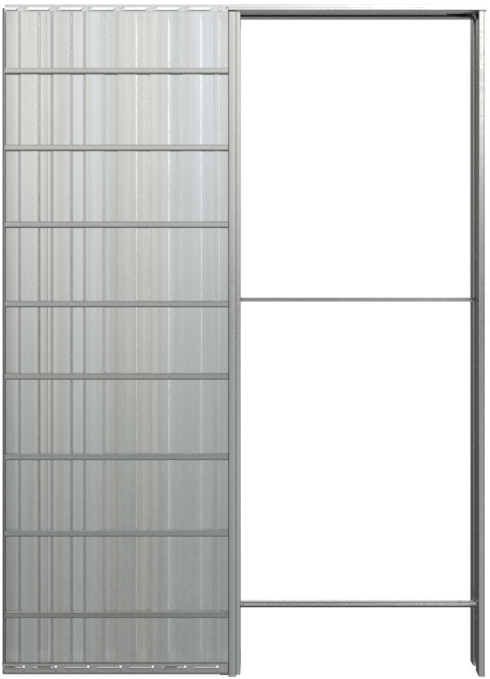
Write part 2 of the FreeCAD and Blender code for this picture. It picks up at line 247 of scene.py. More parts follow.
def zinc_spangle_group():
    """Crystal pattern of hot-dip zinc: flat cells that catch the light differently."""
    bend = 0.006
    tree, given, out = group(
        "zinc_spangle", "ShaderNodeTree",
        [("Vector", "Vector", None), ("Cells", "Float", 130.0)],
        [("Tone", "Float"), ("Height", "Float")])
    bent = node(tree, "ShaderNodeTexNoise",
                {"Vector": given["Vector"], "Scale": 90.0, "Detail": 2.0})
    moved = vectors(tree, "MULTIPLY", bent.outputs["Color"], (bend, bend, bend))
    place = vectors(tree, "ADD", given["Vector"], moved)
    cells = node(tree, "ShaderNodeTexVoronoi", {"Vector": place, "Scale": given["Cells"]})
    tone = node(tree, "ShaderNodeSeparateColor", {"Color": cells.outputs["Color"]})
    edge = node(tree, "ShaderNodeTexVoronoi", {"Vector": place, "Scale": given["Cells"]},
                feature="DISTANCE_TO_EDGE")
    tree.links.new(sums(tree, "SUBTRACT", tone.outputs["Red"], 0.5), out["Tone"])
    tree.links.new(edge.outputs["Distance"], out["Height"])
    return tree


def handling_marks_group():
    """Dull smudges and a few fine scratches from stacking and carrying."""
    smudge_from, smudge_to = 0.48, 0.72
    scratch_from, scratch_to = 0.70, 0.74
    tree, given, out = group(
        "handling_marks", "ShaderNodeTree",
        [("Vector", "Vector", None), ("Spread", "Float", 5.0)],
        [("Smudge", "Float"), ("Scratch", "Float")])
    cloud = node(tree, "ShaderNodeTexNoise",
                 {"Vector": given["Vector"], "Scale": given["Spread"], "Detail": 5.0,
                  "Roughness": 0.62, "Distortion": 0.4})
    slanted = node(tree, "ShaderNodeMapping",
                   {"Vector": given["Vector"], "Rotation": (0.2, 0.5, 0.3),
                    "Scale": (9.0, 9.0, 260.0)})
    lines = node(tree, "ShaderNodeTexNoise",
                 {"Vector": slanted.outputs[0], "Scale": 1.0, "Detail": 1.0})
    tree.links.new(spread(tree, cloud.outputs["Fac"], smudge_from, smudge_to), out["Smudge"])
    tree.links.new(spread(tree, lines.outputs["Fac"], scratch_from, scratch_to), out["Scratch"])
    return tree


def along_axis(tree, given):
    """The place along a group's axis, in millimetres."""
    return sums(tree, "DIVIDE", measure(tree, "DOT_PRODUCT", given["Vector"], given["Axis"]), MM)


def painted_edge_shade_group():
    """Mask of a painted shade line along an edge or fold, where shade falls (a painted highlight
    where the finish gives it a negative strength): a stretch of one axis, in millimetres, with soft
    ends."""
    tree, given, out = group(
        "painted_edge_shade", "ShaderNodeTree",
        [("Vector", "Vector", None), ("Axis", "Vector", (0.0, 0.0, 1.0)), ("Low", "Float", 0.0),
         ("High", "Float", 1.0), ("Soft", "Float", 1.0)],
        [("Mask", "Float")])
    rise = (sums(tree, "SUBTRACT", given["Low"], given["Soft"]), given["Low"])
    fall = (sums(tree, "ADD", given["High"], given["Soft"]), given["High"])
    tree.links.new(between(tree, along_axis(tree, given), rise, fall), out["Mask"])
    return tree


def hole_shade_rings_group():
    """Mask of a painted shade ring round each of a row of holes, heavier below, where the shade of
    the hole's edge falls.
    """
    drop, ring_core, ring_end = 0.8, 0.6, 2.2
    tree, given, out = group(
        "hole_shade_rings", "ShaderNodeTree",
        [("Vector", "Vector", None), ("First", "Float", 0.0), ("Pitch", "Float", 100.0),
         ("Height", "Float", 0.0), ("Radius", "Float", 4.5)],
        [("Mask", "Float")])
    here = parts(tree, given["Vector"])
    past = sums(tree, "SUBTRACT", sums(tree, "DIVIDE", here["X"], MM), given["First"])
    aside = sums(tree, "PINGPONG", past, sums(tree, "MULTIPLY", given["Pitch"], 0.5))
    over = sums(tree, "SUBTRACT", sums(tree, "DIVIDE", here["Z"], MM), given["Height"])
    away = measure(tree, "LENGTH", joined(tree, X=aside, Y=sums(tree, "ADD", over, drop)))
    beyond = sums(tree, "SUBTRACT", away, given["Radius"])
    tree.links.new(spread(tree, beyond, ring_core, ring_end, 1.0, 0.0), out["Mask"])
    return tree


def tone_drift_group():
    """Slow change of the tone along one axis, in millimetres."""
    tree, given, out = group(
        "tone_drift", "ShaderNodeTree",
        [("Vector", "Vector", None), ("Axis", "Vector", (0.0, 0.0, 1.0)),
         ("Start", "Float", 0.0), ("End", "Float", 1.0), ("At Start", "Float", 1.0),
         ("At End", "Float", 1.0)],
        [("Factor", "Float")])
    drift = spread(tree, along_axis(tree, given), given["Start"], given["End"],
                   given["At Start"], given["At End"], "LINEAR")
    tree.links.new(drift, out["Factor"])
    return tree


def zinc_coat_group(grain, bands, spangle, marks):
    """Galvanised finish: colour, roughness and height from grain, bands, crystals and marks."""
    mean_tone, broad_share, thin_share, band_edge_share = 0.62, 2.2, 0.7, -0.4
    band_tint, warm_up_to, cool_from = 0.3, 0.40, 0.60
    crystal_rough, smudge_rough, thin_rough = 0.10, 0.08, 0.10
    thin_height = 0.6
    tree, given, out = group(
        "zinc_coat", "ShaderNodeTree",
        [("Vector", "Vector", None), ("Along", "Vector", (1.0, 1.0, 0.03)),
         ("Across", "Vector", (30.0, 0.0, 0.0)), ("Pale", "Color", grey(0.8)),
         ("Deep", "Color", grey(0.6)), ("Warm", "Color", (0.997, 1.0, 0.957, 1.0)),
         ("Cool", "Color", (0.935, 0.982, 1.0, 1.0)), ("Tint Shift", "Float", 0.0),
         ("Streaks", "Float", 0.5), ("Bands", "Float", 0.2), ("Crystals", "Float", 0.15),
         ("Marks", "Float", 0.2), ("Gloss", "Float", 0.35)],
        [("Color", "Color"), ("Roughness", "Float"), ("Height", "Float")])
    stretched = vectors(tree, "MULTIPLY", given["Vector"], given["Along"])
    streak = use(tree, grain, Vector=stretched)
    band = use(tree, bands, Vector=given["Vector"], Across=given["Across"])
    crystal = use(tree, spangle, Vector=given["Vector"])
    mark = use(tree, marks, Vector=given["Vector"])

    broad = sums(tree, "SUBTRACT", streak["Broad"], 0.5)
    thin = sums(tree, "SUBTRACT", streak["Thin"], 0.5)
    lines = sums(tree, "MULTIPLY_ADD", thin, thin_share,
                 sums(tree, "MULTIPLY", broad, broad_share))
    tone = sums(tree, "MULTIPLY_ADD", lines, given["Streaks"], mean_tone)
    striped = sums(tree, "MULTIPLY_ADD", band["Edge"], band_edge_share, band["Tone"])
    tone = sums(tree, "MULTIPLY_ADD", striped, given["Bands"], tone)
    tone = sums(tree, "MULTIPLY_ADD", crystal["Tone"], given["Crystals"], tone)
    worn = sums(tree, "SUBTRACT", mark["Scratch"], mark["Smudge"])
    tone = sums(tree, "MULTIPLY_ADD", worn, given["Marks"], tone)
    tone = node(tree, "ShaderNodeClamp", {"Value": tone}).outputs[0]

    hue = node(tree, "ShaderNodeTexNoise", {"Vector": stretched, "Scale": 7.0, "Detail": 2.0})
    hue = sums(tree, "ADD", hue.outputs["Fac"], given["Tint Shift"])
    hue = sums(tree, "MULTIPLY_ADD", band["Tone"], band_tint, hue)
    tint = blend(tree, "MIX", spread(tree, hue, warm_up_to, cool_from), given["Warm"],
                 given["Cool"])
    colour = blend(tree, "MIX", tone, given["Deep"], given["Pale"])
    rough = sums(tree, "MULTIPLY_ADD", crystal["Tone"], crystal_rough, given["Gloss"])
    rough = sums(tree, "MULTIPLY_ADD", mark["Smudge"], smudge_rough, rough)
    rough = sums(tree, "MULTIPLY_ADD", thin, thin_rough, rough)
    height = sums(tree, "MULTIPLY_ADD", streak["Thin"], thin_height, crystal["Height"])
    tree.links.new(blend(tree, "MULTIPLY", 1.0, colour, tint), out["Color"])
    tree.links.new(rough, out["Roughness"])
    tree.links.new(height, out["Height"])
    return tree


COAT = zinc_coat_group(rolled_grain_group(), coil_bands_group(), zinc_spangle_group(),
                       handling_marks_group())
EDGE_SHADE = painted_edge_shade_group()
SHADE_RINGS = hole_shade_rings_group()
DRIFT = tone_drift_group()
AXES = {"X": (1.0, 0.0, 0.0), "Y": (0.0, 1.0, 0.0), "Z": (0.0, 0.0, 1.0)}

# Finishes: grain directions, the range of a tone, the levels of the painted shade and painted
# highlight lines, the shift to the warm or cool tint, the relief's height, and the reach of the
# masks for painted highlight lines beside a fold, for painted shade on inner faces and for faces
# turned to the front or the back
UPRIGHT = {"Along": (1.0, 1.0, 0.025), "Across": (62.0, 9.0, 0.0)}
LEVEL = {"Along": (0.025, 1.0, 1.0), "Across": (0.0, 210.0, 210.0)}
PALE_SHARE, DEEP_SHARE = 1.09, 0.86
SHADE_SHARE, HIGHLIGHT_LEVEL = 0.2, 0.95
TINT_SHIFT, TINT_BEFORE, TINT_AFTER = -0.06, -0.12, 0.18
RELIEF_HEIGHT = 0.4
HIGHLIGHT_RISE, HIGHLIGHT_FALL = (-2.4, -1.6), (-0.5, -1.1)
INSIDE_REACH = 10.0
SIDEWAYS, TO_FRONT = 0.05, 0.3
FINISHES = {}


def flank_shade_and_highlight(tree, place, start, end, strength, fade):
    """Masks and strengths for the painted shade on the flanks of pressed strips. Where fade is
    given, they fade out along that stretch of X, and a painted highlight line lies on either side
    of a flank."""
    fold = node(tree, "ShaderNodeAttribute", attribute_name="fold").outputs["Fac"]
    mask = spread(tree, fold, start, end)
    if not fade:
        return [(mask, strength)]
    faded = use(tree, DRIFT, Vector=place, Axis=AXES["X"], Start=fade[0], End=fade[1],
                At_Start=1.0, At_End=0.0)["Factor"]
    painted_highlight = between(tree, fold, HIGHLIGHT_RISE, HIGHLIGHT_FALL)
    return [(sums(tree, "MULTIPLY", painted_highlight, faded), -strength),
            (sums(tree, "MULTIPLY", mask, faded), strength)]


def zinc(name, tone, run, gloss, streaks=0.6, bands=0.2, crystals=0.12, marks=0.15, bump=0.12,
         tint_turn=None, lighting_drifts=(), lines=(), shade_rings=(), flank_shading=None, inside_shade=0.0, fronts=False,
         facing="Normal", lean=0.0):
    """A galvanised finish: tone is its mean level and run its grain direction. tint_turn gives the
    stretch along X where it turns cool. lighting_drifts are painted light and shade gradients, each
    (axis, start, end, share at start, at end); lines are dark lines (axis, low, high, soft,
    strength), most of them painted shade, and a painted highlight where the strength is negative;
    shade_rings are rows of painted shade rings round holes (first X, Z, strength). flank_shading
    paints shade and highlight on the flanks of pressed strips: (from, to, strength, fade).
    inside_shade paints shade on the faces turned to the frame's middle plane. With fronts, only
    faces turned to the front or the back get painted marks. facing names the normal that the relief
    starts from, and lean turns it a little along X."""
    material = bpy.data.materials.new(name)
    material.use_nodes = True
    tree = material.node_tree
    tree.nodes.clear()
    place = node(tree, "ShaderNodeTexCoord").outputs["Object"]
    shape = node(tree, "ShaderNodeNewGeometry").outputs
    shift = TINT_SHIFT
    if tint_turn:
        start, end = tint_turn
        shift = spread(tree, parts(tree, place)["X"], start * MM, end * MM, TINT_BEFORE, TINT_AFTER)
    coat = use(tree, COAT, Vector=place, Along=run["Along"], Across=run["Across"],
               Pale=grey(tone * PALE_SHARE), Deep=grey(tone * DEEP_SHARE), Tint_Shift=shift,
               Streaks=streaks, Bands=bands, Crystals=crystals, Marks=marks, Gloss=gloss)
    colour = coat["Color"]
    # Painted light and shade: the colour lightens or darkens along an axis.
    for axis, start, end, at_start, at_end in lighting_drifts:
        drift = use(tree, DRIFT, Vector=place, Axis=AXES[axis], Start=start, End=end,
                    At_Start=at_start, At_End=at_end)["Factor"]
        colour = blend(tree, "MULTIPLY", 1.0, colour, drift)

    # Masks of painted shade and painted highlight, each with its strength.
    painted_marks = []
    for axis, low, high, soft, strength in lines:
        mask = use(tree, EDGE_SHADE, Vector=place, Axis=AXES[axis], Low=low, High=high, Soft=soft)
        painted_marks.append((mask["Mask"], strength))
    for first, height, strength in shade_rings:
        mask = use(tree, SHADE_RINGS, Vector=place, First=first, Height=height)
        painted_marks.append((mask["Mask"], strength))
    if flank_shading:
        painted_marks += flank_shade_and_highlight(tree, place, *flank_shading)
    if inside_shade or fronts:
        turned = parts(tree, shape["True Normal"])["Y"]
    # Painted shade on the faces turned to the frame's middle plane, the inner faces of channels.
    if inside_shade:
        inward = sums(tree, "MULTIPLY", turned, parts(tree, place)["Y"])
        painted_marks.append((spread(tree, inward, 0.0, -INSIDE_REACH * MM), inside_shade))
    if fronts:
        flat = spread(tree, sums(tree, "ABSOLUTE", turned), SIDEWAYS, TO_FRONT)
        painted_marks = [(sums(tree, "MULTIPLY", mask, flat), strength) for mask, strength in painted_marks]
    # Each mask blends in a painted shade tone; where its strength is negative, a painted highlight
    # tone.
    for mask, strength in painted_marks:
        other = grey(tone * SHADE_SHARE if strength > 0.0 else HIGHLIGHT_LEVEL)
        share = sums(tree, "MULTIPLY", mask, abs(strength))
        colour = blend(tree, "MIX", share, colour, other)

    outward = vectors(tree, "ADD", shape[facing], (lean, 0.0, 0.0))
    relief = node(tree, "ShaderNodeBump",
                  {"Height": coat["Height"], "Strength": bump, "Distance": RELIEF_HEIGHT * MM,
                   "Normal": vectors(tree, "NORMALIZE", outward)})
    shader = node(tree, "ShaderNodeBsdfPrincipled",
                  {"Base Color": colour, "Roughness": coat["Roughness"],
                   "Normal": relief.outputs["Normal"], "Metallic": 1.0})
    node(tree, "ShaderNodeOutputMaterial", {"Surface": shader.outputs[0]})
    FINISHES[name] = material


# Skins: painted shade beside the rear post, and painted shade on the rib flanks with painted
# highlight beside them, fading out to the right.
zinc("sheet_zinc", 0.74, UPRIGHT, 0.22, streaks=0.7, bands=0.48, crystals=0.03, marks=0.06,
     bump=0.02, tint_turn=(-260.0, -200.0), lighting_drifts=[("X", -709.0, -676.0, 0.82, 1.03)],
     flank_shading=(-1.0, 0.5, 0.32, (-470.0, -330.0)))
# Bars: painted light, lighter towards the top, and painted shade on the flanks, the shadow under
# each crown.
zinc("bar_zinc", 0.55, LEVEL, 0.26, streaks=1.0, bands=0.4, crystals=0.05, marks=0.3,
     lighting_drifts=[("Z", 150.0, 1900.0, 0.88, 1.15)], flank_shading=(0.2, 0.6, 0.5, None))
# Rails: painted light, lighter on the top rail, painted shade lines along the base rail's top and
# bottom edges, and painted shade rings round the holes.
zinc("rail_zinc", 0.68, LEVEL, 0.26, crystals=0.05, marks=0.25,
     lighting_drifts=[("Z", 60.0, 2050.0, 1.0, 1.09)],
     lines=[("Z", 39.0, 43.0, 1.5, 0.7), ("Z", 0.0, 10.0, 2.5, 0.6)],
     shade_rings=[(-646.0, 2065.5, 0.6), (-653.0, 28.5, 0.5)])
# Near white: painted light where the pocket's top channel shows through the top rail's openings.
zinc("pale_zinc", 0.92, LEVEL, 0.3, crystals=0.04, bump=0.05)
# Post: a plain darker tone over its front faces, with painted shade on its outer bend and in the
# gap at its step beside the sheet.
zinc("post_zinc", 0.58, UPRIGHT, 0.26, crystals=0.05, fronts=True,
     lines=[("X", -725.0, -680.0, 1.0, 0.38), ("X", -725.0, -714.8, 0.8, 0.8),
            ("X", -711.0, -680.0, 1.2, 0.83)])
# Header: painted shade on its inner faces and two thin painted shade lines along its front.
zinc("header_zinc", 0.79, LEVEL, 0.26, crystals=0.04, bump=0.06, inside_shade=0.85,
     lines=[("Z", 2068.8, 2070.0, 1.0, 0.3), ("Z", 2079.5, 2081.0, 0.8, 0.25)])
# Jamb: painted shade, darker towards the sheet's edge and beside it, and a thin painted shade line
# near its doorway edge.
zinc("jamb_zinc", 0.64, UPRIGHT, 0.24, crystals=0.05, bump=0.06, lean=0.035,
     lighting_drifts=[("X", -17.0, -6.0, 0.86, 1.03)],
     lines=[("X", -50.0, -17.0, 1.2, 0.75), ("X", 4.2, 5.8, 0.9, 0.6)])
# Closing jamb: painted light, brighter lower down, and painted shade on its groove's webs, along
# its flange's outer edge and at its top under the header.
zinc("closing_zinc", 0.56, UPRIGHT, 0.24, crystals=0.05, marks=0.1, bump=0.05,
     lighting_drifts=[("Z", 60.0, 1000.0, 1.12, 1.0)],
     lines=[("Y", -35.5, -10.4, 0.6, 0.88), ("Y", 10.9, 35.5, 0.6, 0.85),
            ("X", 770.5, 790.0, 1.0, 0.5), ("Z", 2057.5, 2100.0, 1.0, 0.75)])
zinc("spacer_zinc", 0.38, LEVEL, 0.22, crystals=0.05, bump=0.05, facing="True Normal")
# Lower spacer: painted shade bands across its bend, step and front, and a thin painted highlight
# line between them.
zinc("stepped_zinc", 0.38, LEVEL, 0.22, crystals=0.05, bump=0.03, facing="True Normal",
     lines=[("Z", 210.0, 218.25, 0.1, 0.75), ("Z", 218.4, 218.7, 0.05, -1.0),
            ("Z", 219.0, 223.4, 0.4, 0.5), ("Y", -37.0, -31.0, 1.0, 0.65)])
zinc("fixing_zinc", 0.30, LEVEL, 0.34, marks=0.25)
# Track: painted shade over its end by the closing jamb, where the groove lies in shade.
zinc("track_alloy", 0.62, LEVEL, 0.26, crystals=0.0, bump=0.06,
     lines=[("X", 725.0, 790.0, 30.0, 0.7)])


# Pieces from trees

def placed_and_finished(tree, points, selection, instance, given):
    """Copies of a shape on points, turned, made real and given the finish."""
    turn = node(tree, "FunctionNodeEulerToRotation", {0: given["Turn"]}).outputs[0]
    placed = node(tree, "GeometryNodeInstanceOnPoints",
                  {"Points": points, "Selection": selection, "Instance": instance,
                   "Rotation": turn})
    solid = node(tree, "GeometryNodeRealizeInstances", {"Geometry": placed.outputs[0]})
    finished = node(tree, "GeometryNodeSetMaterial",
                    {"Geometry": solid.outputs[0], "Material": given["Finish"]})
    return finished.outputs[0]


def grown(tree, name, points, slot, nodes, **values):
    """A plain mesh piece from a tree, finished as a slot and standing for any CAD nodes given."""
    spots = bpy.data.meshes.new(name + "_points")
    spots.from_pydata(points, [], [])
    carrier = bpy.data.objects.new(name + "_carrier", spots)
    bpy.context.scene.collection.objects.link(carrier)
    shape = carrier.modifiers.new("shape", "NODES")
    shape.node_group = tree
    values["Finish"] = FINISHES[slot]
    for item in tree.interface.items_tree:
        if item.in_out == "INPUT" and item.name in values:
            shape[item.identifier] = values[item.name]
    seen = carrier.evaluated_get(bpy.context.evaluated_depsgraph_get())
    made = bpy.data.objects.new(name, bpy.data.meshes.new_from_object(seen))
    bpy.data.objects.remove(carrier)
    bpy.context.scene.collection.objects.link(made)
    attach(made, "root")
    if nodes:
        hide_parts(*nodes)


# Pressed strips: the ribbed skins and the board bars

def strip_height(tree, given, across, along, share):
    """How far a strip stands out at a point, and how near the point is to the middle of a
    flank. The share of the pressing limits the height of a rib."""
    lap_line, lap_off = 0.5, -4.0
    past = sums(tree, "SUBTRACT", across, given["First Rib"])
    rib = sums(tree, "ROUND", sums(tree, "DIVIDE", past, given["Rib Pitch"]))
    rib = node(tree, "ShaderNodeClamp",
               {"Value": rib, "Min": 0.0, "Max": given["Last Rib"]}).outputs[0]
    aside = sums(tree, "SUBTRACT", past, sums(tree, "MULTIPLY", rib, given["Rib Pitch"]))
    before = sums(tree, "MULTIPLY", sums(tree, "LESS_THAN", past, 0.0), given["Open Start"])
    aside = sums(tree, "MULTIPLY", aside, sums(tree, "SUBTRACT", 1.0, before))
    far = sums(tree, "GREATER_THAN", aside, 0.0)
    wider = sums(tree, "SUBTRACT", given["Far Flank"], given["Near Flank"])
    flank = sums(tree, "ADD", given["Near Flank"], sums(tree, "MULTIPLY", far, wider))
    foot = sums(tree, "ADD", given["Half Rib"], flank)
    climb = sums(tree, "SUBTRACT", foot, sums(tree, "ABSOLUTE", aside))
    climb = sums(tree, "DIVIDE", climb, flank)
    margin = sums(tree, "SUBTRACT", given["Margin"], given["Far Flank"])
    edge = sums(tree, "SUBTRACT", across, margin)
    climb = sums(tree, "MAXIMUM", climb, sums(tree, "DIVIDE", edge, given["Far Flank"]))

    fold = sums(tree, "ABSOLUTE", sums(tree, "SUBTRACT", climb, 0.5))
    fold = sums(tree, "DIVIDE", sums(tree, "MULTIPLY", fold, flank), given["Fold Width"])
    fold = sums(tree, "SUBTRACT", 1.0, fold)
    # The lap edge gets a fold value too, so the sheet's painted flank shade draws a painted shade
    # line, with painted highlight beside it, along the lap.
    lapping = sums(tree, "ABSOLUTE", sums(tree, "SUBTRACT", across, given["Lap Edge"]))
    lapping = spread(tree, lapping, LAP_FOLD_FROM * MM, LAP_FOLD_TO * MM, lap_line, lap_off)
    fold = sums(tree, "MAXIMUM", fold, lapping)

    climb = sums(tree, "SMOOTH_MAX", climb, 0.0, given["Bend"])
    climb = sums(tree, "SMOOTH_MIN", climb, share, given["Bend"])
    climb = sums(tree, "MULTIPLY", climb, sums(tree, "LESS_THAN", across, given["Edge"]))
    depth = sums(tree, "MULTIPLY", climb, given["Rise"])

    ripple = joined(tree, X=sums(tree, "MULTIPLY", across, WAVES_ACROSS),
                    Y=sums(tree, "MULTIPLY", along, WAVES_ALONG), Z=given["Wave Seed"])
    ripple = node(tree, "ShaderNodeTexNoise", {"Vector": ripple, "Scale": 1.0, "Detail": 1.0})
    ripple = sums(tree, "SUBTRACT", ripple.outputs["Fac"], 0.5)
    depth = sums(tree, "ADD", depth, sums(tree, "MULTIPLY", ripple, given["Wave Height"]))

    rise = [sums(tree, "SUBTRACT", given["Lap Edge"], reach * MM)
            for reach in (LAP_RISE_FROM, LAP_RISE_TO)]
    lapped = spread(tree, across, *rise, 0.0, given["Lap Height"])
    lap_end = sums(tree, "ADD", given["Lap Edge"], given["Lap Width"])
    ended = spread(tree, across, given["Lap Edge"], lap_end, 1.0, 0.0, "LINEAR")
    return sums(tree, "ADD", depth, sums(tree, "MULTIPLY", lapped, ended)), fold


def pressed_strip_tree():
    """A strip of sheet with rounded ribs along it, set at each given place. The points hold the
    places first, then the stations across the strip (in X), then those along it (in X, with the
    share of the pressing in Y). A negative rise presses the ribs inwards. With Open Start the
    first rib runs on to the strip's start, and past Margin the strip lies at the ribs' level.
    From Edge on the strip is turned back to the ground level. How near a point is to the middle
    of a flank, in fold widths, and to the lap edge is kept on the mesh as the attribute fold;
    painted shade and painted highlight lines are laid from it."""
    numbers = ("First Rib", "Rib Pitch", "Last Rib", "Half Rib", "Near Flank", "Far Flank",
               "Open Start", "Margin", "Rise", "Bend", "Edge", "Gauge", "Fold Width",
               "Wave Height", "Wave Seed", "Lap Edge", "Lap Width", "Lap Height")
    tree, given, out = group(
        "pressed_strip", "GeometryNodeTree",
        [("Points", "Geometry", None)] + [(n, "Float", 0.0) for n in numbers]
        + [("Places", "Int", 1), ("Across Stations", "Int", 2), ("Along Stations", "Int", 2),
           ("Turn", "Vector", (0.0, 0.0, 0.0)), ("Finish", "Material", None)],
        [("Geometry", "Geometry")])
    columns = sums(tree, "SUBTRACT", given["Across Stations"], 1.0)
    rows = sums(tree, "SUBTRACT", given["Along Stations"], 1.0)
    flat = node(tree, "GeometryNodeMeshGrid", {
        "Size X": columns, "Size Y": rows,
        "Vertices X": given["Across Stations"], "Vertices Y": given["Along Stations"]})
    where = node(tree, "GeometryNodeInputPosition").outputs[0]
    here = parts(tree, where)
    column = sums(tree, "ROUND", sums(tree, "MULTIPLY_ADD", columns, 0.5, here["X"]))
    row = sums(tree, "ROUND", sums(tree, "MULTIPLY_ADD", rows, 0.5, here["Y"]))
    column = sums(tree, "ADD", column, given["Places"])
    row = sums(tree, "ADD", sums(tree, "ADD", row, given["Places"]), given["Across Stations"])
    station = [node(tree, "GeometryNodeSampleIndex",
                    {"Geometry": given["Points"], "Value": where, "Index": index},
                    data_type="FLOAT_VECTOR")
               for index in (column, row)]
    station = [parts(tree, made.outputs[0]) for made in station]
    across, along, share = station[0]["X"], station[1]["X"], station[1]["Y"]
    depth, fold = strip_height(tree, given, across, along, share)

    known = node(tree, "GeometryNodeCaptureAttribute", {"Geometry": flat.outputs["Mesh"]})
    known.capture_items.new("FLOAT", "fold")
    tree.links.new(fold, known.inputs[1])
    shaped = node(tree, "GeometryNodeSetPosition",
                  {"Geometry": known.outputs["Geometry"],
                   "Position": joined(tree, X=across, Y=along, Z=depth)})
    marked = node(tree, "GeometryNodeStoreNamedAttribute",
                  {"Geometry": shaped.outputs[0], "Name": "fold", "Value": known.outputs[1]},
                  data_type="FLOAT", domain="POINT")
    outer = node(tree, "GeometryNodeExtrudeMesh",
                 {"Mesh": marked.outputs[0], "Offset Scale": given["Gauge"],
                  "Individual": False}, mode="FACES")
    inner = node(tree, "GeometryNodeFlipFaces", {"Mesh": marked.outputs[0]})
    both = node(tree, "GeometryNodeJoinGeometry")
    tree.links.new(outer.outputs["Mesh"], both.inputs[0])
    tree.links.new(inner.outputs["Mesh"], both.inputs[0])
    closed = node(tree, "GeometryNodeMergeByDistance",
                  {"Geometry": both.outputs[0], "Distance": MERGE_GAP * MM})
    smooth = node(tree, "GeometryNodeSetShadeSmooth", {"Geometry": closed.outputs[0]})
    bend = node(tree, "GeometryNodeInputMeshEdgeAngle").outputs["Unsigned Angle"]
    sharp = node(tree, "FunctionNodeCompare", {"A": bend, "B": CRISP_ANGLE},
                 data_type="FLOAT", operation="GREATER_THAN")
    crisp = node(tree, "GeometryNodeSetShadeSmooth",
                 {"Geometry": smooth.outputs[0], "Shade Smooth": False,
                  "Selection": sharp.outputs[0]}, domain="EDGE")
    first = node(tree, "FunctionNodeCompare",
                 {"A": node(tree, "GeometryNodeInputIndex").outputs[0], "B": given["Places"]},
                 data_type="FLOAT", operation="LESS_THAN")
    finished = placed_and_finished(tree, given["Points"], first.outputs[0], crisp.outputs[0], given)
    tree.links.new(finished, out["Geometry"])
    return tree


PRESSED = pressed_strip_tree()


def filled(marks, widest):
    """Marks along a line with more put in between, so that no gap is wider than widest."""
    marks = sorted(set(round(mark, 3) for mark in marks))
    line = []
    for start, end in zip(marks, marks[1:]):
        steps = math.ceil((end - start) / widest)
        line += [start + (end - start) * n / steps for n in range(steps)]
    return line + [marks[-1]]


def strip_points(places, across, along):
    """Points that carry the places and the stations of a pressed strip."""
    points = list(places) + [(x, 0.0, 0.0) for x in across]
    return metres(points) + [(x * MM, share, 0.0) for x, share in along]


def rib_stations():
    """Places across the skin: close together at each flank and at the lap."""
    reach = RIB_FLOOR_HALF + RIB_FLANK / 2.0
    flanks = [RIB_FIRST + RIB_PITCH * n + way * reach
              for n in range(RIB_COUNT) for way in (-1, 1)][1:]
    flanks.append(SHEET_RIGHT - SHEET_MARGIN - RIB_FLANK / 2.0)
    marks = [middle + way * step for middle in flanks for way in (-1, 1) for step in FLANK_STEPS]
    marks += [LAP_EDGE + step for step in LAP_STEPS]
    return filled(marks + [SHEET_LEFT, SHEET_RIGHT], SKIN_GAP_ACROSS)


def press_stations():
    """Heights along the skin and the share of the ribs there: they run out gently at both
    rails."""
    def share(height):
        part = min(height - BASE_RAIL_TOP, TOP_RAIL_BOTTOM - height) / RUN_OUT
        part = min(max(part, 0.0), 1.0)
        return part * part * (3.0 - 2.0 * part)

    steps = [RUN_OUT * n / RUN_OUT_STEPS for n in range(RUN_OUT_STEPS + 1)]
    marks = [BASE_RAIL_TOP + step for step in steps] + [TOP_RAIL_BOTTOM - step for step in steps]
    marks = filled(marks + [SHEET_BOTTOM, SHEET_TOP], SKIN_GAP_ALONG)
    return [(z, share(z)) for z in marks]


def face_word(side):
    """The word for a face in the names of pieces."""
    return "front" if side < 0 else "back"


def face_turn(side):
    """The turn that sets a shape's Z square out of a face."""
    return (-side * math.pi / 2.0, 0.0, 0.0)


def ribbed_skin(side):
    """One ribbed skin of the pocket; side is -1 at the front and 1 at the back."""
    word = face_word(side)
    across = rib_stations()
    along = sorted((-side * z, share) for z, share in press_stations())
    places = [(0.0, side * (POCKET_HALF - SKIN), 0.0)]
    grown(
        PRESSED, word + "_ribbed_skin", strip_points(places, across, along), "sheet_zinc",
        [word + "_pocket_sheet"],
        **{"Places": len(places), "Across Stations": len(across), "Along Stations": len(along),
           "First Rib": RIB_FIRST * MM, "Rib Pitch": RIB_PITCH * MM, "Last Rib": RIB_COUNT - 1.0,
           "Half Rib": RIB_FLOOR_HALF * MM, "Near Flank": RIB_FLANK * MM,
           "Far Flank": RIB_FLANK * MM, "Open Start": 1.0,
           "Margin": (SHEET_RIGHT - SHEET_MARGIN) * MM, "Rise": -RIB_DEPTH * MM,
           "Bend": RIB_BEND, "Edge": FAR_OFF, "Gauge": SKIN * MM, "Fold Width": RIB_FLANK * MM,
           "Wave Height": SKIN_WAVE * MM, "Wave Seed": SKIN_WAVE_SEED + side,
           "Lap Edge": LAP_EDGE * MM, "Lap Width": LAP_WIDTH * MM, "Lap Height": LAP_HEIGHT * MM,
           "Turn": face_turn(side)})


